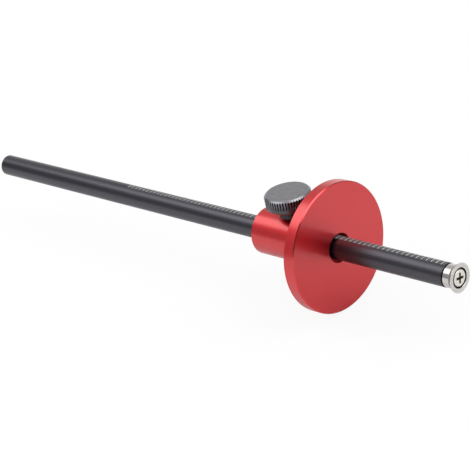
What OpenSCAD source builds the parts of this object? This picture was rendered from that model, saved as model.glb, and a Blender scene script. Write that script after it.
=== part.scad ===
// Wheel marking gauge. A graduated round rod carries a bevelled cutter wheel on its nose,
// and a disc fence slides along the rod, turns on it and is held by a knurled screw.
// Lengths are in millimetres. +X runs along the rod to the cutter, +Z is the axis of the
// lock screw, and the origin is the centre of the fence's working face.

/* [Rod] */
// Diameter of the rod
rod_d = 8; // [7.6:0.1:9]
// Length of rod in front of the fence's face
rod_front = 45.8; // [30:0.1:90]
// Length of rod behind the fence's face
rod_back = 180; // [120:1:240]
// Chamfer round the tail of the rod
tail_chamfer = 0.6; // [0.2:0.1:1.2]
// Height of the low spigots on the rod's nose and on the back of the cutter wheel
spigot_len = 0.25; // [0.1:0.05:0.4]
// Diameter of both spigots, which meet at the bottom of a narrow groove
spigot_d = 6.6; // [5:0.1:7.4]

/* [Scale on the rod] */
// Number of marks, counted from the nose
mark_count = 150; // [20:1:160]
// Distance from one mark to the next
mark_pitch = 1; // [0.8:0.1:1.2]
// Width of a mark along the rod
mark_w = 0.4; // [0.2:0.05:0.6]
// Depth of a mark
mark_depth = 0.12; // [0.08:0.02:0.3]
// Length of a plain mark round the rod
mark_len = 3.3; // [2:0.1:4]
// Length of every fifth mark
fifth_len = 4.4; // [3:0.1:5]
// Length of every tenth mark
tenth_len = 5.6; // [4:0.1:7]
// Distance round the rod from the lock screw's line to the foot of the marks
mark_foot = 0.75; // [0:0.05:2]

/* [Fence] */
// Diameter of the disc
disc_d = 45; // [36:0.5:60]
// Thickness of the disc
disc_t = 4.5; // [3.5:0.1:8]
// Diameter of the hub behind the disc
hub_d = 16.5; // [15:0.1:20]
// Length of the hub
hub_len = 29; // [24:0.5:40]
// Chamfer on the disc's two rims
rim_chamfer = 0.35; // [0.1:0.05:1]
// Chamfer on the hub's tail
hub_chamfer = 0.4; // [0.1:0.05:1]
// Radial room round the cutter when it is drawn into the pocket in the face
pocket_room = 0.25; // [0.15:0.05:0.6]
// Room behind the cutter in its pocket
pocket_floor = 0.2; // [0.1:0.05:1]

/* [Friction ring] */
// Thickness of the rubber ring's round section
ring_t = 1.5; // [1:0.1:1.8]
// Distance from the hub's tail to the ring
ring_inset = 5; // [3:0.1:6]

/* [Lock screw] */
// Diameter of the screw's thread
lock_d = 5; // [4:0.1:6]
// Distance from the back of the disc to the screw's axis
lock_back = 15.2; // [12:0.1:17]
// Diameter of the knurled head
head_d = 16; // [12:0.1:20]
// Height of the knurled head
head_h = 5; // [3.5:0.1:8]
// Chamfer round the top of the head
head_top_chamfer = 1; // [0.6:0.05:1.2]
// Chamfer round the underside of the head
head_low_chamfer = 0.8; // [0.6:0.05:1.5]
// Number of grooves round the head
grip_count = 52; // [24:1:60]
// Depth of the grooves
grip_depth = 0.4; // [0.2:0.05:0.55]
// Share of a groove's pitch that is left as land
grip_land = 0.56; // [0.3:0.02:0.8]
// Diameter of the plain neck under the head
neck_d = 8; // [6.5:0.1:10]
// Length of the neck
neck_h = 3.5; // [2:0.1:6]
// Gap left under the neck when the fence is locked
neck_gap = 0.55; // [0.3:0.05:1.5]
// Diameter of the brass pad under the screw
pad_d = 4; // [3:0.1:4.8]
// Height of the brass pad
pad_h = 1.2; // [0.8:0.1:1.8]
// Chamfer at the tips of both screws
tip_chamfer = 0.4; // [0.1:0.05:0.6]

/* [Cutter] */
// Diameter of the cutting edge
wheel_d = 9.8; // [9:0.1:12]
// Length of the wheel along the rod
wheel_len = 4.2; // [3.6:0.1:6]
// Diameter of the wheel's collar
collar_d = 7.8; // [7.6:0.05:8]
// Length of the ground bevel from the collar to the edge
bevel_len = 1.5; // [1.2:0.05:2.4]
// Width of the flat land at the cutting edge
edge_land = 0.12; // [0.05:0.01:0.3]
// Diameter of the cutter screw's thread
screw_d = 3; // [2.5:0.1:3.4]
// Length of the cutter screw under its head
screw_len = 10; // [7:0.5:16]
// Length of tapped hole left beyond the cutter screw's tip
hole_spare = 2; // [0.5:0.5:5]
// Diameter of the cutter screw's head
screw_head_d = 5.6; // [5:0.1:5.9]
// Height of the cutter screw's head
screw_head_h = 1.2; // [0.9:0.05:1.4]
// Chamfer round the cutter screw's head
head_edge = 0.2; // [0.05:0.05:0.4]
// Radial gap round the screw's head in the wheel
sink_gap = 0.6; // [0.3:0.05:0.65]
// Width of a slot of the cross in the screw's head
cross_w = 0.85; // [0.5:0.05:1.1]
// Length of a slot of the cross
cross_len = 3.5; // [2:0.1:3.8]
// Depth of the cross
cross_depth = 0.75; // [0.3:0.05:0.8]
// Turn of the cross from the lock screw's line
cross_turn = 78; // [0:1:89]

/* [Fits] */
// Radial clearance of the rod in the fence
slide_fit = 0.05; // [0.02:0.01:0.1]
// Radial clearance of a screw in its hole
thread_fit = 0.05; // [0.02:0.01:0.1]
// Gap between faces that bear on each other
seat_gap = 0.03; // [0.01:0.01:0.08]

/* [Hidden] */
$fn = 96;
cut_over = 1;
rod_r = rod_d / 2;
bore_r = rod_r + slide_fit;
fence_len = disc_t + hub_len;
pocket_r = wheel_d / 2 + pocket_room;
pocket_depth = wheel_len + pocket_floor;

// The rubber ring fills its groove in the bore and bears on the rod
ring_x = -(fence_len - ring_inset);
ring_r = rod_r + slide_fit + ring_t / 2;
groove_r = ring_r + ring_t / 2 + slide_fit;
groove_w = ring_t + 4 * slide_fit;

// Place of the lock screw along the rod, and its heights and its pad's above the rod's axis
lock_x = -(disc_t + lock_back);
lock_hole_r = lock_d / 2 + thread_fit;
pad_z = rod_r + seat_gap;
lock_tip_z = pad_z + pad_h + seat_gap;
neck_z = hub_d / 2 + neck_gap;
head_z = neck_z + neck_h;
head_top_z = head_z + head_h;

// The cutter wheel stands on the rod's nose, and its screw's head lies flush with its face
wheel_x = rod_front + seat_gap;
wheel_face_x = wheel_x + wheel_len;
bevel_x = wheel_face_x - edge_land - bevel_len;
screw_hole_r = screw_d / 2 + thread_fit;
sink_r = screw_head_d / 2 + sink_gap;
sink_x = wheel_face_x - screw_head_h - seat_gap;
head_seat_x = wheel_face_x - screw_head_h;
screw_tip_x = head_seat_x - screw_len;
screw_hole_x = screw_tip_x - hole_spare;

// A solid turned about the rod's axis from a profile of radius across and place along
module turned(angle = 360) {
    rotate([90, 0, 90])
        rotate_extrude(angle = angle)
            children();
}

// Half of a round bar's lengthwise section, with a chamfer at each end
module bar_section(radius, from, to, from_chamfer = 0, to_chamfer = 0) {
    polygon([
        [0, from],
        [radius - from_chamfer, from],
        [radius, from + from_chamfer],
        [radius, to - to_chamfer],
        [radius - to_chamfer, to],
        [0, to]
    ]);
}

// Every mark whose number the test picks, cut round the rod from the common foot line
function marks_of(step, skip) =
    [for (i = [1 : mark_count]) if (i % step == 0 && (skip == 0 || i % skip != 0)) i];

module mark_cuts(numbers, len) {
    len_angle = len / rod_r * 180 / PI;
    foot_angle = 90 + mark_foot / rod_r * 180 / PI;
    rotate([foot_angle - len_angle, 0, 0])
        turned(len_angle)
            for (i = numbers)
                translate([rod_r - mark_depth, rod_front - i * mark_pitch - mark_w / 2])
                    square([mark_depth + cut_over, mark_w]);
}

module beam_rod() {
    color("#2c2c2f")
        difference() {
            turned()
                union() {
                    bar_section(rod_r, -rod_back, rod_front - spigot_len, tail_chamfer, 0);
                    bar_section(spigot_d / 2, 0, rod_front);
                }
            turned()
                bar_section(screw_hole_r, screw_hole_x, rod_front + cut_over);
            mark_cuts(marks_of(1, 5), mark_len);
            mark_cuts(marks_of(5, 10), fifth_len);
            mark_cuts(marks_of(10, 0), tenth_len);
        }
}

// A spigot, a collar and a straight bevel that ends in a narrow land at the cutting edge
module wheel_section() {
    difference() {
        union() {
            bar_section(spigot_d / 2, wheel_x, wheel_face_x);
            bar_section(collar_d / 2, wheel_x + spigot_len, wheel_face_x);
            polygon([
                [0, bevel_x],
                [collar_d / 2, bevel_x],
                [wheel_d / 2, wheel_face_x - edge_land],
                [wheel_d / 2, wheel_face_x],
                [0, wheel_face_x]
            ]);
        }
        bar_section(screw_hole_r, wheel_x - cut_over, wheel_face_x + cut_over);
        bar_section(sink_r, sink_x, wheel_face_x + cut_over);
    }
}

module cutter_wheel() {
    color("#c6c7ca")
        turned()
            wheel_section();
}

module cutter_screw() {
    color("#d2d2d0")
        difference() {
            turned()
                union() {
                    bar_section(screw_d / 2, screw_tip_x, head_seat_x, tip_chamfer, 0);
                    bar_section(screw_head_d / 2, head_seat_x, wheel_face_x, 0, head_edge);
                }
            for (quarter = [0, 90])
                translate([wheel_face_x - cross_depth, 0, 0])
                    rotate([cross_turn + quarter, 0, 0])
                        translate([0, -cross_w / 2, -cross_len / 2])
                            cube([cross_depth + cut_over, cross_w, cross_len]);
        }
}

// Disc and hub are turned from one bar, bored for the rod, pocketed for the cutter
// and grooved inside the hub for the rubber ring
module fence_section() {
    difference() {
        union() {
            bar_section(disc_d / 2, -disc_t, 0, rim_chamfer, rim_chamfer);
            bar_section(hub_d / 2, -fence_len, -disc_t / 2, hub_chamfer, 0);
        }
        bar_section(bore_r, -fence_len - cut_over, cut_over);
        bar_section(pocket_r, -pocket_depth, cut_over);
        bar_section(groove_r, ring_x - groove_w / 2, ring_x + groove_w / 2);
    }
}

module fence() {
    color("#c5363f")
        difference() {
            turned()
                fence_section();
            translate([lock_x, 0, 0])
                cylinder(r = lock_hole_r, h = hub_d);
        }
}

module friction_ring() {
    color("#1b1b1b")
        turned()
            translate([ring_r, ring_x])
                circle(d = ring_t);
}

module lock_pad() {
    color("#b8923e")
        translate([lock_x, 0, pad_z])
            cylinder(d = pad_d, h = pad_h);
}

// Outline of the head across its axis: straight grooves between narrow lands
module grip_outline() {
    pitch = 360 / grip_count;
    outer = head_d / 2;
    inner = outer - grip_depth;
    half_land = grip_land / 2;
    function at(radius, angle) = [radius * cos(angle), radius * sin(angle)];
    polygon([
        for (i = [0 : grip_count - 1], corner = [[-half_land, outer], [half_land, outer], [0.5, inner]])
            at(corner[1], (i + corner[0]) * pitch)
    ]);
}

module lock_screw() {
    color("#3b3b3e")
        translate([lock_x, 0, 0]) {
            intersection() {
                translate([0, 0, head_z])
                    linear_extrude(head_h)
                        grip_outline();
                rotate_extrude()
                    bar_section(head_d / 2, head_z, head_top_z, head_low_chamfer, head_top_chamfer);
            }
            rotate_extrude()
                bar_section(neck_d / 2, neck_z, head_z + head_h / 2);
            rotate_extrude()
                bar_section(lock_d / 2, lock_tip_z, neck_z + neck_h / 2, tip_chamfer, 0);
        }
}

beam_rod();
cutter_wheel();
cutter_screw();
fence();
friction_ring();
lock_pad();
lock_screw();
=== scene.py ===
# A wheel marking gauge for woodwork, put together from the rod outwards.
# Sizes are written in millimetres and turned to metres by MM.
import math

import bmesh
import bpy
from mathutils import Matrix, Vector


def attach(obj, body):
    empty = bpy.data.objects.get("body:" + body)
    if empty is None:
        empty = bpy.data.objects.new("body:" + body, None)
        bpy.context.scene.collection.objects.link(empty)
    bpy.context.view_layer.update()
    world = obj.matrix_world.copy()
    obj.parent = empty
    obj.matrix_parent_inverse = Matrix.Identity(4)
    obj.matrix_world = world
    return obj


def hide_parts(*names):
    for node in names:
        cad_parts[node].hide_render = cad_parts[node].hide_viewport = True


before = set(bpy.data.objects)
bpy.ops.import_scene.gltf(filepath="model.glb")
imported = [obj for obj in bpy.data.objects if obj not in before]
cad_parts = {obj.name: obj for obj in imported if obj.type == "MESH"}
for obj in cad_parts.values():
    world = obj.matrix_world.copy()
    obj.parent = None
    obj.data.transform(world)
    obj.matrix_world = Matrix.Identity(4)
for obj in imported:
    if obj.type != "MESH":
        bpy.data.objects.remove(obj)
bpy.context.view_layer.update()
MM = 0.001


# The rod is a drawn aluminium bar with a low spigot at its nose, bored for the cutter's screw
# and black anodised. Its millimetre scale is engraved through the black afterwards: short arcs
# round the bar from one foot line, with longer fifths and tenths.
ROD_R = 4.0
ROD_NOSE, ROD_TAIL = 45.8, -180.0
SPIGOT_R, SPIGOT_LENGTH, NOSE_EDGE, TAIL_CHAMFER = 3.3, 0.25, 0.05, 0.6
SCREW_HOLE_R, SCREW_HOLE_END = 1.55, 36.83
MARK_COUNT, MARK_WIDTH, MARK_DEPTH = 150, 0.4, 0.12
MARK_FOOT = math.radians(10.743)
ROD_STEPS = 120
MARK_STEPS = {1: 16, 5: 21, 10: 27}  # how many of the rod's steps each mark, fifth and tenth spans
FULL_TURN = 2 * math.pi
MERGE = 0.0005 * MM
SHARP_EDGE = math.radians(28)


def turn(bm, profile, steps, start=0.0, closed=False):
    """Spins a chain of (place along the rod, radius) points about the rod's axis."""
    side = Vector((0, -math.sin(start), math.cos(start)))
    verts = [bm.verts.new(Vector((x, 0, 0)) * MM + side * radius * MM) for x, radius in profile]
    pairs = list(zip(verts, verts[1:]))
    if closed:
        pairs.append((verts[-1], verts[0]))
    edges = [bm.edges.new(pair) for pair in pairs]
    bmesh.ops.spin(
        bm, geom=verts + edges, cent=(0, 0, 0), axis=(-1, 0, 0),
        angle=FULL_TURN, steps=steps, use_merge=True,
    )
    bmesh.ops.remove_doubles(bm, verts=bm.verts, dist=MERGE)


def placed(name, bm):
    """Turns a bmesh into an object in the scene."""
    mesh = bpy.data.meshes.new(name)
    bm.to_mesh(mesh)
    bm.free()
    obj = bpy.data.objects.new(name, mesh)
    bpy.context.scene.collection.objects.link(obj)
    return obj


def smoothed(mesh):
    """Shades a mesh smooth and keeps its real edges sharp."""
    mesh.shade_smooth()
    mesh.set_sharp_from_angle(angle=SHARP_EDGE)


def made(name, bm, body, node, slot, *materials):
    """Turns a bmesh into a finished piece that stands for a CAD node and rides on its body."""
    bmesh.ops.recalc_face_normals(bm, faces=bm.faces)
    obj = placed(name, bm)
    smoothed(obj.data)
    for material in materials:
        obj.data.materials.append(material)
    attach(obj, body)
    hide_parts(node)
    return obj


def linear(colour):
    """An sRGB hex colour as linear RGBA."""
    parts = [int(colour[i:i + 2], 16) / 255 for i in (1, 3, 5)]
    return [p / 12.92 if p <= 0.04045 else ((p + 0.055) / 1.055) ** 2.4 for p in parts] + [1.0]


def add(tree, kind, inputs, outputs=None, **settings):
    """Adds a node with its settings, its inputs as values or links, and links from its outputs."""
    node = tree.nodes.new(kind)
    for name, value in settings.items():
        setattr(node, name, value)
    for name, value in inputs.items():
        if isinstance(value, bpy.types.NodeSocket):
            tree.links.new(value, node.inputs[name])
        else:
            node.inputs[name].default_value = value
    for name, socket in (outputs or {}).items():
        tree.links.new(node.outputs[name], socket)
    return node


def finish(name, **sockets):
    """A material with one Principled shader, whose plain values are set on its own sockets."""
    material = bpy.data.materials.new(name)
    material.use_nodes = True
    shader = material.node_tree.nodes["Principled BSDF"]
    for socket, value in sockets.items():
        shader.inputs[socket.replace("_", " ")].default_value = value
    return material, material.node_tree, shader.inputs


# The Mix node's sockets for two colours and their mixture, which other sockets share names with.
MIX_A, MIX_B, MIXED = 6, 7, 2

# Black anodised aluminium: a dyed oxide that is dark but still a metal underneath, so it
# gives soft grey reflections. Drawing leaves faint streaks along the bar, 0.35 mm wide.
STREAK_LENGTH, STREAK_WIDTH = 40, 0.35
black_anodised, tree, shader = finish(
    "black_anodised_aluminium", Metallic=1.0, Coat_Weight=0.85, Coat_Roughness=0.3, Coat_IOR=1.45,
    Specular_Tint=linear("#adadb1"),
)
place = add(tree, "ShaderNodeTexCoord", {}).outputs["Object"]
along = add(tree, "ShaderNodeMapping", {
    "Vector": place,
    "Scale": [1 / (size * MM) for size in (STREAK_LENGTH, STREAK_WIDTH, STREAK_WIDTH)],
}).outputs["Vector"]
streaks = add(tree, "ShaderNodeTexNoise", {
    "Vector": along, "Scale": 1.0, "Detail": 3.0,
}).outputs["Fac"]
add(tree, "ShaderNodeMix", {
    "Factor": streaks, MIX_A: linear("#36353c"), MIX_B: linear("#44434b"),
}, {MIXED: shader["Base Color"]}, data_type="RGBA")
add(tree, "ShaderNodeMapRange", {
    "Value": streaks, "To Min": 0.32, "To Max": 0.42,
}, {"Result": shader["Roughness"]})
add(tree, "ShaderNodeBump", {
    "Height": streaks, "Strength": 0.12, "Distance": 0.02 * MM,
}, {"Normal": shader["Normal"]})

# Laser marks: the oxide at the bottom of each cut is burnt pale and matt. A millimetre is too
# fine to show from the camera, so every second mark is drawn pale and those between are duller.
etched = []
for name, low, high in (
    ("etched_oxide_pale", "#b8b8b8", "#c8c8c8"), ("etched_oxide_dull", "#6e6e6f", "#808081"),
):
    material, tree, shader = finish(name)
    place = add(tree, "ShaderNodeTexCoord", {}).outputs["Object"]
    pits = add(tree, "ShaderNodeTexNoise", {
        "Vector": place, "Scale": 1 / (0.25 * MM), "Detail": 2.0,
    }).outputs["Fac"]
    add(tree, "ShaderNodeMix", {
        "Factor": pits, MIX_A: linear(low), MIX_B: linear(high),
    }, {MIXED: shader["Base Color"]}, data_type="RGBA")
    add(tree, "ShaderNodeMapRange", {
        "Value": pits, "To Min": 0.7, "To Max": 0.85,
    }, {"Result": shader["Roughness"]})
    etched.append(material)

shoulder = ROD_NOSE - SPIGOT_LENGTH
profile = [
    (SCREW_HOLE_END, 0), (SCREW_HOLE_END, SCREW_HOLE_R), (ROD_NOSE, SCREW_HOLE_R),
    (ROD_NOSE, SPIGOT_R), (shoulder, SPIGOT_R), (shoulder, ROD_R - NOSE_EDGE),
    (shoulder - NOSE_EDGE, ROD_R),
]
for number in range(1, MARK_COUNT + 1):
    mark = ROD_NOSE - number
    profile += [(mark + MARK_WIDTH / 2, ROD_R), (mark - MARK_WIDTH / 2, ROD_R)]
profile += [(ROD_TAIL + TAIL_CHAMFER, ROD_R), (ROD_TAIL, ROD_R - TAIL_CHAMFER), (ROD_TAIL, 0)]
bm = bmesh.new()
turn(bm, profile, ROD_STEPS, start=MARK_FOOT)

step = FULL_TURN / ROD_STEPS
cut = []
for face in bm.faces:
    centre = face.calc_center_median() / MM
    number = round(ROD_NOSE - centre.x)
    if not 1 <= number <= MARK_COUNT or abs(ROD_NOSE - number - centre.x) > MARK_WIDTH / 4:
        continue
    if math.hypot(centre.y, centre.z) < ROD_R - MARK_DEPTH / 2:
        continue
    reach = max(steps for every, steps in MARK_STEPS.items() if number % every == 0)
    if (math.atan2(centre.y, centre.z) + MARK_FOOT) % FULL_TURN < reach * step:
        cut.append(face)
sunk = bmesh.ops.extrude_face_region(bm, geom=cut)["geom"]
bmesh.ops.delete(bm, geom=cut, context="FACES")
deeper = (ROD_R - MARK_DEPTH) / ROD_R
floors = [item for item in sunk if isinstance(item, bmesh.types.BMVert)]
bmesh.ops.scale(bm, vec=(1, deeper, deeper), verts=floors)
for face in {face for vert in floors for face in vert.link_faces}:
    number = round(ROD_NOSE - face.calc_center_median().x / MM)
    face.material_index = 1 + number % 2
made("graduated_rod", bm, "rod", "beam_rod", "black_anodised", black_anodised, *etched)


# The cutter wheel is turned from hardened tool steel: a low spigot and a collar that stand on the
# rod's nose, a bevel ground up to the scribing edge, and a flat face counterbored for the screw.
WHEEL_BACK, WHEEL_FACE = 45.83, 50.03
COLLAR_R, EDGE_R = 3.9, 4.9
BEVEL_LENGTH, EDGE_LAND = 1.5, 0.12
SINK_R, SINK_FLOOR, SINK_EDGE = 3.4, 48.8, 0.06
WHEEL_STEPS = 128

# Ground steel: bright, a little blurred. The tool leaves rings 0.15 mm apart, drawn 0.4 mm apart
# so that they show.
ground_steel, tree, shader = finish("ground_tool_steel", Metallic=1.0)
place = add(tree, "ShaderNodeTexCoord", {}).outputs["Object"]
axes = add(tree, "ShaderNodeSeparateXYZ", {"Vector": place}).outputs
across = add(tree, "ShaderNodeCombineXYZ", {"Y": axes["Y"], "Z": axes["Z"]}).outputs["Vector"]
radius = add(tree, "ShaderNodeVectorMath", {0: across}, operation="LENGTH").outputs["Value"]
ring = add(tree, "ShaderNodeMath", {0: radius, 1: axes["X"]}, operation="ADD").outputs["Value"]
rings = add(tree, "ShaderNodeTexNoise", {
    "W": ring, "Scale": 1 / (0.4 * MM), "Detail": 2.0,
}, noise_dimensions="1D").outputs["Fac"]
add(tree, "ShaderNodeMix", {
    "Factor": rings, MIX_A: linear("#aeaca9"), MIX_B: linear("#e0dedb"),
}, {MIXED: shader["Base Color"]}, data_type="RGBA")
add(tree, "ShaderNodeMapRange", {
    "Value": rings, "To Min": 0.15, "To Max": 0.25,
}, {"Result": shader["Roughness"]})
add(tree, "ShaderNodeBump", {
    "Height": rings, "Strength": 0.25, "Distance": 0.02 * MM,
}, {"Normal": shader["Normal"]})

# The bevel is ground last, across the rings: the same steel, but dull and fine-scratched.
dull_steel, tree, shader = finish("scratched_tool_steel", Metallic=0.55)
place = add(tree, "ShaderNodeTexCoord", {}).outputs["Object"]
scratches = add(tree, "ShaderNodeTexNoise", {
    "Vector": place, "Scale": 1 / (0.4 * MM), "Detail": 4.0,
}).outputs["Fac"]
add(tree, "ShaderNodeMix", {
    "Factor": scratches, MIX_A: linear("#807f7d"), MIX_B: linear("#a3a2a0"),
}, {MIXED: shader["Base Color"]}, data_type="RGBA")
add(tree, "ShaderNodeMapRange", {
    "Value": scratches, "To Min": 0.5, "To Max": 0.65,
}, {"Result": shader["Roughness"]})

# Painted shade: the bottom of the counterbore is drawn near black, for the shade in the gap round
# the screw head.
counterbore_painted_shade, tree, shader = finish("counterbore_painted_shade")
place = add(tree, "ShaderNodeTexCoord", {}).outputs["Object"]
shade_mottle = add(tree, "ShaderNodeTexNoise", {
    "Vector": place, "Scale": 1 / (0.3 * MM), "Detail": 3.0,
}).outputs["Fac"]
add(tree, "ShaderNodeMix", {
    "Factor": shade_mottle, MIX_A: linear("#1d1c1c"), MIX_B: linear("#343231"),
}, {MIXED: shader["Base Color"]}, data_type="RGBA")
add(tree, "ShaderNodeMapRange", {
    "Value": shade_mottle, "To Min": 0.5, "To Max": 0.7,
}, {"Result": shader["Roughness"]})

bevel_end = WHEEL_FACE - EDGE_LAND
bevel_start = bevel_end - BEVEL_LENGTH
shoulder = WHEEL_BACK + SPIGOT_LENGTH
bm = bmesh.new()
turn(bm, [
    (WHEEL_BACK, SCREW_HOLE_R), (WHEEL_BACK, SPIGOT_R), (shoulder, SPIGOT_R),
    (shoulder, COLLAR_R - NOSE_EDGE), (shoulder + NOSE_EDGE, COLLAR_R),
    (bevel_start, COLLAR_R), (bevel_end, EDGE_R), (WHEEL_FACE, EDGE_R),
    (WHEEL_FACE, SINK_R + SINK_EDGE), (WHEEL_FACE - SINK_EDGE, SINK_R),
    (SINK_FLOOR, SINK_R), (SINK_FLOOR, SCREW_HOLE_R),
], WHEEL_STEPS, closed=True)
# The bevel takes the dull steel, and the counterbore's floor takes the painted shade.
for face in bm.faces:
    centre = face.calc_center_median() / MM
    radius = math.hypot(centre.y, centre.z)
    if bevel_start < centre.x < bevel_end and radius > COLLAR_R:
        face.material_index = 1
    elif abs(centre.x - SINK_FLOOR) < SINK_EDGE and radius < SINK_R:
        face.material_index = 2
made(
    "bevelled_wheel", bm, "cutter", "cutter_wheel", "hardened_steel",
    ground_steel, dull_steel, counterbore_painted_shade,
)


# The cutter's screw is an M3 cheese-head machine screw, nickel plated, with a cross recess
# punched in its head. It clamps the wheel to the rod's nose and lies flush with its face.
SCREW_HEAD_R, SCREW_SEAT, SCREW_TIP = 2.8, 48.83, 38.83
SCREW_R, SCREW_ROOT_R, SCREW_PITCH = 1.5, 1.22, 0.5
HEAD_ROUND, ROUND_PARTS, SCREW_HEAD_STEPS = 0.3, 4, 72
CROSS_WIDTH, CROSS_LENGTH, CROSS_DEPTH, CROSS_TAPER = 0.85, 3.5, 0.75, 0.72
CROSS_TURN = math.radians(12)
ROOT_END, CREST_START, CREST_END = 0.15, 0.5, 0.65  # a tooth of the thread, in shares of its pitch
THREAD_STEPS = 36
CUT_SLACK, RIM_SLACK = 0.0001 * MM, 0.001 * MM

# Nickel plate over a pressed head: warm grey, satin, with a grain of about 0.5 mm.
nickel, tree, shader = finish("nickel_plated_steel", Metallic=1.0)
place = add(tree, "ShaderNodeTexCoord", {}).outputs["Object"]
pressed = add(tree, "ShaderNodeTexNoise", {
    "Vector": place, "Scale": 1 / (0.5 * MM), "Detail": 4.0,
}).outputs["Fac"]
add(tree, "ShaderNodeMix", {
    "Factor": pressed, MIX_A: linear("#cfccc2"), MIX_B: linear("#e9e7df"),
}, {MIXED: shader["Base Color"]}, data_type="RGBA")
add(tree, "ShaderNodeMapRange", {
    "Value": pressed, "To Min": 0.3, "To Max": 0.45,
}, {"Result": shader["Roughness"]})
add(tree, "ShaderNodeBump", {
    "Height": pressed, "Strength": 0.2, "Distance": 0.03 * MM,
}, {"Normal": shader["Normal"]})

# Painted shade: the punched cross and the side of the head are drawn dark, for the shade in the
# recess and in the gap round the head.
screw_painted_shade, tree, shader = finish("screw_recess_painted_shade", Metallic=0.4)
place = add(tree, "ShaderNodeTexCoord", {}).outputs["Object"]
pressed = add(tree, "ShaderNodeTexNoise", {
    "Vector": place, "Scale": 1 / (0.3 * MM), "Detail": 3.0,
}).outputs["Fac"]
add(tree, "ShaderNodeMix", {
    "Factor": pressed, MIX_A: linear("#2c2a27"), MIX_B: linear("#45423d"),
}, {MIXED: shader["Base Color"]}, data_type="RGBA")
add(tree, "ShaderNodeMapRange", {
    "Value": pressed, "To Min": 0.5, "To Max": 0.65,
}, {"Result": shader["Roughness"]})


def rim(bm, height):
    """The open edges of a shank or head that lie at one height."""
    return [
        e for e in bm.edges
        if e.is_boundary and all(abs(v.co.z - height * MM) < RIM_SLACK for v in e.verts)
    ]


def drawn_out(bm, edges, radius, height):
    """Extrudes a round rim to a new radius and height, and gives its new edges."""
    new = bmesh.ops.extrude_edge_only(bm, edges=edges)["geom"]
    for vert in new:
        if isinstance(vert, bmesh.types.BMVert):
            flat = Vector((vert.co.x, vert.co.y, 0)).normalized() * radius * MM
            vert.co = (flat.x, flat.y, height * MM)
    return [item for item in new if isinstance(item, bmesh.types.BMEdge) and item.is_boundary]


def thread(tip, seat, crest_r, root_r, pitch):
    """A screw's shank along +Z: a chain of teeth spun up a pitch a turn, cut flat at both ends."""
    bm = bmesh.new()
    chain = []
    for tooth in range(math.ceil((seat - tip) / pitch) + 2):
        base = tip - pitch + tooth * pitch
        chain += [
            (root_r, base), (root_r, base + pitch * ROOT_END),
            (crest_r, base + pitch * CREST_START), (crest_r, base + pitch * CREST_END),
        ]
    verts = [bm.verts.new(Vector((radius, 0, height)) * MM) for radius, height in chain]
    edges = [bm.edges.new(pair) for pair in zip(verts, verts[1:])]
    bmesh.ops.spin(
        bm, geom=verts + edges, cent=(0, 0, 0), axis=(0, 0, 1), angle=FULL_TURN,
        steps=THREAD_STEPS, dvec=(0, 0, pitch * MM / THREAD_STEPS),
    )
    bmesh.ops.remove_doubles(bm, verts=bm.verts, dist=MERGE)
    for height, outward in ((tip, -1), (seat, 1)):
        bmesh.ops.bisect_plane(
            bm, geom=bm.verts[:] + bm.edges[:] + bm.faces[:], dist=CUT_SLACK,
            plane_co=(0, 0, height * MM), plane_no=(0, 0, outward), clear_outer=True,
        )
    mesh = bpy.data.meshes.new("shank")
    bm.to_mesh(mesh)
    bm.free()
    return mesh


def with_shank(bm, tip, seat, *sizes):
    """Adds a threaded shank under a head whose rim is open at the seat, and closes both ends."""
    mesh = thread(tip, seat, *sizes)
    bm.from_mesh(mesh)
    bpy.data.meshes.remove(mesh)
    bmesh.ops.triangle_fill(bm, use_beauty=True, edges=rim(bm, seat), normal=(0, 0, -1))
    bmesh.ops.holes_fill(bm, edges=rim(bm, tip))


bm = bmesh.new()
bmesh.ops.create_circle(
    bm, cap_ends=True, segments=SCREW_HEAD_STEPS, radius=(SCREW_HEAD_R - HEAD_ROUND) * MM,
    matrix=Matrix.Translation((0, 0, WHEEL_FACE * MM)),
)
for reach in (-CROSS_LENGTH / 2, -CROSS_WIDTH / 2, CROSS_WIDTH / 2, CROSS_LENGTH / 2):
    for side in ((1, 0, 0), (0, 1, 0)):
        bmesh.ops.bisect_plane(
            bm, geom=bm.verts[:] + bm.edges[:] + bm.faces[:],
            plane_co=Vector(side) * reach * MM, plane_no=side,
        )
cross = []
for face in bm.faces:
    near, far = sorted(abs(value) / MM for value in face.calc_center_median()[:2])
    if near < CROSS_WIDTH / 2 and far < CROSS_LENGTH / 2:
        cross.append(face)
punched = bmesh.ops.extrude_face_region(bm, geom=cross)["geom"]
bmesh.ops.delete(bm, geom=cross, context="FACES")
floors = [item for item in punched if isinstance(item, bmesh.types.BMVert)]
# The cross's walls and floor take the painted shade.
for face in {face for vert in floors for face in vert.link_faces}:
    face.material_index = 1
bmesh.ops.scale(bm, vec=(CROSS_TAPER, CROSS_TAPER, 1), verts=floors)
bmesh.ops.translate(bm, vec=(0, 0, -CROSS_DEPTH * MM), verts=floors)
edge = rim(bm, WHEEL_FACE)
for part in range(1, ROUND_PARTS + 1):
    angle = math.pi / 2 * part / ROUND_PARTS
    edge = drawn_out(
        bm, edge, SCREW_HEAD_R - HEAD_ROUND * (1 - math.sin(angle)),
        WHEEL_FACE - HEAD_ROUND * (1 - math.cos(angle)),
    )
edge = drawn_out(bm, edge, SCREW_HEAD_R, SCREW_SEAT)
# The side of the head takes the painted shade.
for face in {face for e in edge for face in e.link_faces}:
    face.material_index = 1
with_shank(bm, SCREW_TIP, SCREW_SEAT, SCREW_R, SCREW_ROOT_R, SCREW_PITCH)
for angle, axis in ((-CROSS_TURN, "Z"), (math.pi / 2, "Y")):
    bmesh.ops.rotate(bm, cent=(0, 0, 0), matrix=Matrix.Rotation(angle, 3, axis), verts=bm.verts)
made("cross_head_screw", bm, "rod", "cutter_screw", "plated_steel", nickel, screw_painted_shade)


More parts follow.
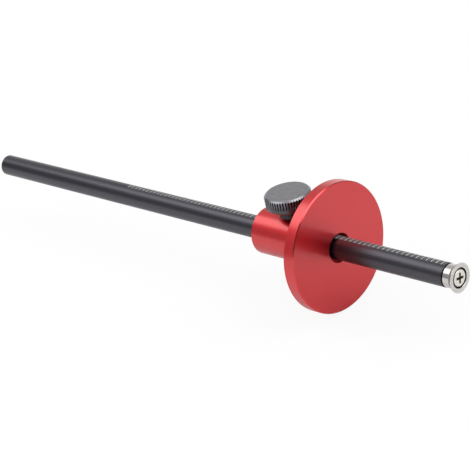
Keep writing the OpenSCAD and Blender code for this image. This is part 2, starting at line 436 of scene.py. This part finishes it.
# The fence is one turning: a disc with a flat working face, a hub behind it, a bore that slides
# on the rod, a pocket in the face for the cutter and a groove inside for the rubber ring.
DISC_R, DISC_T, RIM_CHAMFER = 22.5, 4.5, 0.35
HUB_R, HUB_END, HUB_CHAMFER = 8.25, -33.5, 0.4
BORE_R, POCKET_R, POCKET_FLOOR = 4.05, 5.15, -4.4
RING_X, GROOVE_R, GROOVE_W = -28.5, 5.6, 1.7
LOCK_X, LOCK_HOLE_R = -19.7, 2.55
FENCE_STEPS, HOLE_STEPS = 192, 64

# Red anodised aluminium: the dye tints the metal's soft reflections, and the clear oxide on top
# adds a sharper pale one. A fine grain is left by blasting, and under it the lathe's lines show
# round the hub and the rim. They are 0.1 mm apart, drawn 0.5 mm apart so that they show.
red_anodised, tree, shader = finish(
    "red_anodised_aluminium", Metallic=1.0, Coat_Weight=1.0, Coat_Roughness=0.2, Coat_IOR=1.6,
    Specular_Tint=linear("#e77c7c"),
)
place = add(tree, "ShaderNodeTexCoord", {}).outputs["Object"]
blasted = add(tree, "ShaderNodeTexNoise", {
    "Vector": place, "Scale": 1 / (0.3 * MM), "Detail": 4.0,
}).outputs["Fac"]
axes = add(tree, "ShaderNodeSeparateXYZ", {"Vector": place}).outputs
lines = add(tree, "ShaderNodeTexNoise", {
    "W": axes["X"], "Scale": 1 / (0.5 * MM), "Detail": 3.0,
}, noise_dimensions="1D").outputs["Fac"]
add(tree, "ShaderNodeMix", {
    "Factor": lines, MIX_A: linear("#bc171e"), MIX_B: linear("#da252c"),
}, {MIXED: shader["Base Color"]}, data_type="RGBA")
add(tree, "ShaderNodeMapRange", {
    "Value": blasted, "To Min": 0.4, "To Max": 0.5,
}, {"Result": shader["Roughness"]})
turned = add(tree, "ShaderNodeBump", {
    "Height": lines, "Strength": 0.12, "Distance": 0.02 * MM,
}).outputs["Normal"]
add(tree, "ShaderNodeBump", {
    "Height": blasted, "Strength": 0.15, "Distance": 0.02 * MM, "Normal": turned,
}, {"Normal": shader["Normal"]})

# The edges are cut once more after blasting, so their dyed metal is smooth and catches the light.
cut_edge, tree, shader = finish(
    "red_anodised_cut_edge", Metallic=1.0, Coat_Weight=1.0, Coat_Roughness=0.1, Coat_IOR=1.6,
    Specular_Tint=linear("#e77c7c"),
)
place = add(tree, "ShaderNodeTexCoord", {}).outputs["Object"]
clouds = add(tree, "ShaderNodeTexNoise", {
    "Vector": place, "Scale": 1 / (2 * MM), "Detail": 3.0,
}).outputs["Fac"]
add(tree, "ShaderNodeMix", {
    "Factor": clouds, MIX_A: linear("#cb2229"), MIX_B: linear("#d4282f"),
}, {MIXED: shader["Base Color"]}, data_type="RGBA")
add(tree, "ShaderNodeMapRange", {
    "Value": clouds, "To Min": 0.12, "To Max": 0.2,
}, {"Result": shader["Roughness"]})

bm = bmesh.new()
turn(bm, [
    (HUB_END, BORE_R), (HUB_END, HUB_R - HUB_CHAMFER), (HUB_END + HUB_CHAMFER, HUB_R),
    (-DISC_T, HUB_R), (-DISC_T, DISC_R - RIM_CHAMFER), (-DISC_T + RIM_CHAMFER, DISC_R),
    (-RIM_CHAMFER, DISC_R), (0, DISC_R - RIM_CHAMFER),
    (0, POCKET_R), (POCKET_FLOOR, POCKET_R), (POCKET_FLOOR, BORE_R),
    (RING_X + GROOVE_W / 2, BORE_R), (RING_X + GROOVE_W / 2, GROOVE_R),
    (RING_X - GROOVE_W / 2, GROOVE_R), (RING_X - GROOVE_W / 2, BORE_R),
], FENCE_STEPS, closed=True)
for face in bm.faces:
    if 0.2 < abs(face.normal.x) < 0.9:  # neither a flat side nor a round one, so a chamfer
        face.material_index = 1
fence = made("disc_and_hub", bm, "fence", "fence", "red_anodised", red_anodised, cut_edge)
drill_bm = bmesh.new()
bmesh.ops.create_cone(
    drill_bm, cap_ends=True, segments=HOLE_STEPS, depth=HUB_R * MM,
    radius1=LOCK_HOLE_R * MM, radius2=LOCK_HOLE_R * MM,
    matrix=Matrix.Translation(Vector((LOCK_X, 0, HUB_R * 0.75)) * MM),  # from the bore to the open
)
drill = placed("drill", drill_bm)
drilling = fence.modifiers.new("lock_hole", "BOOLEAN")
drilling.object = drill
drilling.operation = "DIFFERENCE"
drilling.solver = "EXACT"
bpy.context.view_layer.update()
depsgraph = bpy.context.evaluated_depsgraph_get()
drilled = bpy.data.meshes.new_from_object(fence.evaluated_get(depsgraph))
fence.modifiers.clear()
fence.data = drilled
bpy.data.objects.remove(drill)
smoothed(drilled)


# A rubber ring of round section lies in the groove of the fence's bore and drags on the rod,
# so the fence stays where it is put while the screw is loose.
RING_SECTION = 1.5
SECTION_STEPS, RING_STEPS = 28, 96

# Nitrile rubber: matt black with a dusty bloom.
rubber, tree, shader = finish("nitrile_rubber")
place = add(tree, "ShaderNodeTexCoord", {}).outputs["Object"]
bloom = add(tree, "ShaderNodeTexNoise", {
    "Vector": place, "Scale": 1 / (0.8 * MM), "Detail": 3.0,
}).outputs["Fac"]
add(tree, "ShaderNodeMix", {
    "Factor": bloom, MIX_A: linear("#141414"), MIX_B: linear("#262626"),
}, {MIXED: shader["Base Color"]}, data_type="RGBA")
add(tree, "ShaderNodeMapRange", {
    "Value": bloom, "To Min": 0.6, "To Max": 0.8,
}, {"Result": shader["Roughness"]})

bm = bmesh.new()
bmesh.ops.create_circle(
    bm, segments=SECTION_STEPS, radius=RING_SECTION / 2 * MM,
    matrix=Matrix.Translation(Vector((RING_X, BORE_R + RING_SECTION / 2, 0)) * MM),
)
bmesh.ops.spin(
    bm, geom=bm.verts[:] + bm.edges[:], cent=(0, 0, 0), axis=(1, 0, 0),
    angle=FULL_TURN, steps=RING_STEPS, use_merge=True,
)
bmesh.ops.remove_doubles(bm, verts=bm.verts, dist=MERGE)
made("rubber_ring", bm, "ring", "friction_ring", "ring_rubber", rubber)


# A brass pad lies under the lock screw's tip and takes its pressure, so that the turning
# screw doesn't bite into the scale. It is parted off a bar with its edges broken.
PAD_R, PAD_H, PAD_FOOT = 2.0, 1.2, 4.03
PAD_EDGE, PAD_STEPS = 0.15, 64

# Turned brass: warm, half bright, with the parting tool's rings 0.2 mm apart.
brass, tree, shader = finish("turned_brass", Metallic=1.0)
place = add(tree, "ShaderNodeTexCoord", {}).outputs["Object"]
centred = add(tree, "ShaderNodeMapping", {
    "Vector": place, "Location": (-LOCK_X * MM, 0, 0), "Scale": (1, 1, 0),
}).outputs["Vector"]
radius = add(tree, "ShaderNodeVectorMath", {0: centred}, operation="LENGTH").outputs["Value"]
rings = add(tree, "ShaderNodeTexNoise", {
    "W": radius, "Scale": 1 / (0.2 * MM),
}, noise_dimensions="1D").outputs["Fac"]
add(tree, "ShaderNodeMix", {
    "Factor": rings, MIX_A: linear("#b08d3e"), MIX_B: linear("#cfae5c"),
}, {MIXED: shader["Base Color"]}, data_type="RGBA")
add(tree, "ShaderNodeMapRange", {
    "Value": rings, "To Min": 0.25, "To Max": 0.4,
}, {"Result": shader["Roughness"]})

bm = bmesh.new()
bmesh.ops.create_cone(
    bm, cap_ends=True, segments=PAD_STEPS, radius1=PAD_R * MM, radius2=PAD_R * MM, depth=PAD_H * MM,
    matrix=Matrix.Translation(Vector((LOCK_X, 0, PAD_FOOT + PAD_H / 2)) * MM),
)
bmesh.ops.bevel(
    bm, geom=[e for e in bm.edges if e.calc_face_angle() > SHARP_EDGE], offset=PAD_EDGE * MM,
    affect="EDGES", segments=2, profile=0.5, material=-1,
)
made("brass_pad", bm, "pad", "lock_pad", "pad_brass", brass)


# The lock screw is a high thumb screw: a chamfered head with straight knurling that runs out above
# a plain band, a plain neck and an M5 thread. It is turned from aluminium and dyed dark grey.
HEAD_R, HEAD_FOOT, HEAD_TOP = 8.0, 12.3, 17.3
HEAD_CHAMFER_TOP, HEAD_CHAMFER_LOW = 0.6, 0.7
GROOVES, GROOVE_DEPTH, GROOVE_COLUMNS = 52, 0.4, 4
KNURL_FOOT, RUN_OUT = 15.0, 1.1
NECK_R, NECK_FOOT = 4.0, 8.8
LOCK_R, LOCK_ROOT_R, LOCK_PITCH, LOCK_TIP = 2.5, 2.05, 0.8, 5.26

# Dark grey anodised aluminium with a matt, blasted skin of about 0.3 mm grain, a little cloudy.
grey_anodised, tree, shader = finish(
    "grey_anodised_aluminium", Metallic=0.85, Coat_Weight=0.6, Coat_Roughness=0.4, Coat_IOR=1.5,
)
place = add(tree, "ShaderNodeTexCoord", {}).outputs["Object"]
blasted = add(tree, "ShaderNodeTexNoise", {
    "Vector": place, "Scale": 1 / (0.3 * MM), "Detail": 4.0,
}).outputs["Fac"]
clouds = add(tree, "ShaderNodeTexNoise", {
    "Vector": place, "Scale": 1 / (1.2 * MM), "Detail": 3.0, "Roughness": 0.7,
}).outputs["Fac"]
add(tree, "ShaderNodeMix", {
    "Factor": clouds, MIX_A: linear("#58585c"), MIX_B: linear("#929297"),
}, {MIXED: shader["Base Color"]}, data_type="RGBA")
add(tree, "ShaderNodeMapRange", {
    "Value": blasted, "To Min": 0.42, "To Max": 0.55,
}, {"Result": shader["Roughness"]})
add(tree, "ShaderNodeBump", {
    "Height": blasted, "Strength": 0.2, "Distance": 0.02 * MM,
}, {"Normal": shader["Normal"]})

# Painted shade: the same aluminium drawn almost black on the groove walls, the neck and the thread,
# for the shade in the grooves and under the head.
dark_grey_painted_shade, tree, shader = finish(
    "knurl_and_neck_painted_shade", Metallic=0.6, Coat_Weight=0.3, Coat_Roughness=0.4, Coat_IOR=1.5,
)
place = add(tree, "ShaderNodeTexCoord", {}).outputs["Object"]
blasted = add(tree, "ShaderNodeTexNoise", {
    "Vector": place, "Scale": 1 / (0.3 * MM), "Detail": 4.0,
}).outputs["Fac"]
add(tree, "ShaderNodeMix", {
    "Factor": blasted, MIX_A: linear("#161618"), MIX_B: linear("#2a2a2d"),
}, {MIXED: shader["Base Color"]}, data_type="RGBA")
add(tree, "ShaderNodeMapRange", {
    "Value": blasted, "To Min": 0.45, "To Max": 0.6,
}, {"Result": shader["Roughness"]})

# What is turned after blasting is smoother, with a soft shine: the lands between the grooves, the
# top chamfer, drawn the lightest as a painted highlight, and the band below, drawn darker as
# painted shade where it faces down.
turned_grey_with_painted_light = []
for name, low, high in (
    ("turned_grey_aluminium", "#58585c", "#727277"), ("knob_chamfer_painted_highlight", "#76767a", "#929297"),
    ("knob_band_painted_shade", "#464649", "#545457"),
):
    material, tree, shader = finish(
        name, Metallic=1.0, Coat_Weight=0.4, Coat_Roughness=0.3, Coat_IOR=1.5,
    )
    place = add(tree, "ShaderNodeTexCoord", {}).outputs["Object"]
    clouds = add(tree, "ShaderNodeTexNoise", {
        "Vector": place, "Scale": 1 / (0.5 * MM), "Detail": 3.0,
    }).outputs["Fac"]
    add(tree, "ShaderNodeMix", {
        "Factor": clouds, MIX_A: linear(low), MIX_B: linear(high),
    }, {MIXED: shader["Base Color"]}, data_type="RGBA")
    add(tree, "ShaderNodeMapRange", {
        "Value": clouds, "To Min": 0.25, "To Max": 0.36,
    }, {"Result": shader["Roughness"]})
    turned_grey_with_painted_light.append(material)
SHADE_PAINTED, LAND, CHAMFER, BAND = 1, 2, 3, 4

knurl_top = HEAD_TOP - HEAD_CHAMFER_TOP
bm = bmesh.new()
bmesh.ops.create_circle(
    bm, cap_ends=True, segments=GROOVES * GROOVE_COLUMNS, radius=(HEAD_R - HEAD_CHAMFER_TOP) * MM,
    matrix=Matrix.Translation((0, 0, HEAD_TOP * MM)),
)
edge = drawn_out(bm, rim(bm, HEAD_TOP), HEAD_R, knurl_top)
upper = {vert for e in edge for vert in e.verts}
edge = drawn_out(bm, edge, HEAD_R, KNURL_FOOT)
lower = {vert for e in edge for vert in e.verts}
for radius, height in (
    (HEAD_R, KNURL_FOOT - RUN_OUT), (HEAD_R, HEAD_FOOT + HEAD_CHAMFER_LOW),
    (HEAD_R - HEAD_CHAMFER_LOW, HEAD_FOOT), (NECK_R, HEAD_FOOT), (NECK_R, NECK_FOOT),
):
    edge = drawn_out(bm, edge, radius, height)
for face in bm.faces:
    centre = face.calc_center_median() / MM
    if centre.to_2d().length < (HEAD_R + NECK_R) / 2:
        continue
    # The band below the knurl takes the painted shade, and the top chamfer the painted highlight.
    if centre.z < KNURL_FOOT:
        face.material_index = BAND
    else:
        face.material_index = CHAMFER if centre.z > knurl_top else LAND
column = FULL_TURN / (GROOVES * GROOVE_COLUMNS)
deeper = (HEAD_R - GROOVE_DEPTH) / HEAD_R
for verts, climb in ((upper, GROOVE_DEPTH), (lower, 0)):
    groove = [
        v for v in verts
        if round(math.atan2(v.co.y, v.co.x) / column) % GROOVE_COLUMNS == GROOVE_COLUMNS // 2
    ]
    bmesh.ops.scale(bm, vec=(deeper, deeper, 1), verts=groove)
    bmesh.ops.translate(bm, vec=(0, 0, climb * MM), verts=groove)
    # The groove walls take the painted shade.
    for face in {face for vert in groove for face in vert.link_faces}:
        if KNURL_FOOT < face.calc_center_median().z / MM < knurl_top:
            face.material_index = SHADE_PAINTED
with_shank(bm, LOCK_TIP, NECK_FOOT, LOCK_R, LOCK_ROOT_R, LOCK_PITCH)
# The neck and the thread under the head take the painted shade.
for face in bm.faces:
    if face.calc_center_median().z < HEAD_FOOT * MM - RIM_SLACK:
        face.material_index = SHADE_PAINTED
bmesh.ops.translate(bm, vec=(LOCK_X * MM, 0, 0), verts=bm.verts)
made(
    "knurled_thumb_screw", bm, "knob", "lock_screw", "dark_anodised",
    grey_anodised, dark_grey_painted_shade, *turned_grey_with_painted_light,
)


# The stage: a pale floor under the disc, a soft surround with some darker sides and one lighter,
# and a softbox over the tail. The floor shows white to the camera and a little of that to the
# metal, with a faint shadow.
FLOOR_Z, FLOOR_SIZE = -22.6, 2.5
SEEN_WHITE, MIRRORED_WHITE = 0.9, 0.1
floor_bm = bmesh.new()
bmesh.ops.create_grid(
    floor_bm, x_segments=1, y_segments=1, size=FLOOR_SIZE,
    matrix=Matrix.Translation((0, 0, FLOOR_Z * MM)),
)
floor = placed("floor", floor_bm)
paper = bpy.data.materials.new("white_paper")
paper.use_nodes = True
tree = paper.node_tree
tree.nodes.clear()
ray = add(tree, "ShaderNodeLightPath", {}).outputs
seen = add(tree, "ShaderNodeMath", {
    0: ray["Is Camera Ray"], 1: ray["Is Transmission Ray"],
}, operation="MAXIMUM")
seen = add(tree, "ShaderNodeMath", {0: seen.outputs[0], 1: SEEN_WHITE}, operation="MULTIPLY")
share = add(tree, "ShaderNodeMath", {
    0: ray["Is Glossy Ray"], 1: MIRRORED_WHITE, 2: seen.outputs[0],
}, operation="MULTIPLY_ADD")
lit = add(tree, "ShaderNodeBsdfDiffuse", {"Color": linear("#e3e3e3")})
white = add(tree, "ShaderNodeEmission", {"Color": linear("#ffffff"), "Strength": 1.0})
mixed = add(tree, "ShaderNodeMixShader", {
    0: share.outputs[0], 1: lit.outputs[0], 2: white.outputs[0],
})
add(tree, "ShaderNodeOutputMaterial", {"Surface": mixed.outputs[0]})
floor.data.materials.append(paper)

# Each darker or lighter side has its direction, the cosines from which it starts and is full,
# and its change to the surround's level.
SURROUND_LEVEL = 1.05
SIDES = (
    ((-0.69, -0.68, 0.25), 0.8, 0.98, -0.7), ((-0.69, 0.38, 0.62), 0.86, 0.985, -0.4),
    ((0.58, 0.12, 0.8), 0.84, 0.98, 2.2), ((0.69, -0.58, 0.43), 0.8, 0.97, -0.8),
    ((0.19, 0.91, 0.38), 0.8, 0.97, -0.4), ((-0.93, -0.1, 0.3), 0.92, 0.985, -0.7),
)
world = bpy.data.worlds.new("studio")
bpy.context.scene.world = world
world.use_nodes = True
tree = world.node_tree
back = tree.nodes["Background"]
back.inputs["Color"].default_value = linear("#ffffff")
way = add(tree, "ShaderNodeTexCoord", {}).outputs["Generated"]
level = SURROUND_LEVEL
for side, start, full, change in SIDES:
    facing = add(tree, "ShaderNodeVectorMath", {
        0: way, 1: Vector(side).normalized(),
    }, operation="DOT_PRODUCT")
    lobe = add(tree, "ShaderNodeMapRange", {
        "Value": facing.outputs["Value"], "From Min": start, "From Max": full,
        "To Min": 0.0, "To Max": change,
    }, interpolation_type="SMOOTHSTEP")
    total = add(tree, "ShaderNodeMath", {0: level, 1: lobe.outputs["Result"]}, operation="ADD")
    level = total.outputs[0]
tree.links.new(level, back.inputs["Strength"])

SOFTBOX_AIM, SOFTBOX_DISTANCE = Vector((-0.46, -0.444, 0.769)).normalized(), 0.9
lamp = bpy.data.lights.new("softbox", "AREA")
lamp.shape = "RECTANGLE"
lamp.size, lamp.size_y = 1.1, 0.45
lamp.energy = 2.4
box = bpy.data.objects.new("softbox", lamp)
bpy.context.scene.collection.objects.link(box)
box.location = SOFTBOX_AIM * SOFTBOX_DISTANCE
box.rotation_euler = SOFTBOX_AIM.to_track_quat("Z", "Y").to_euler()

# The camera stands where the photographer stood, held a little off level.
lens = bpy.data.cameras.new("camera")
lens.sensor_width = 36.0
lens.lens = 127.5
lens.clip_start = 0.01
camera = bpy.data.objects.new("camera", lens)
bpy.context.scene.collection.objects.link(camera)
camera.matrix_world = Matrix((
    (0.7023, -0.1818, 0.6883, 0.35394),
    (0.6833, 0.4434, -0.5801, -0.34126),
    (-0.1997, 0.8777, 0.4356, 0.25055),
    (0, 0, 0, 1),
))
bpy.context.scene.camera = camera
bpy.context.scene.view_settings.view_transform = "Standard"
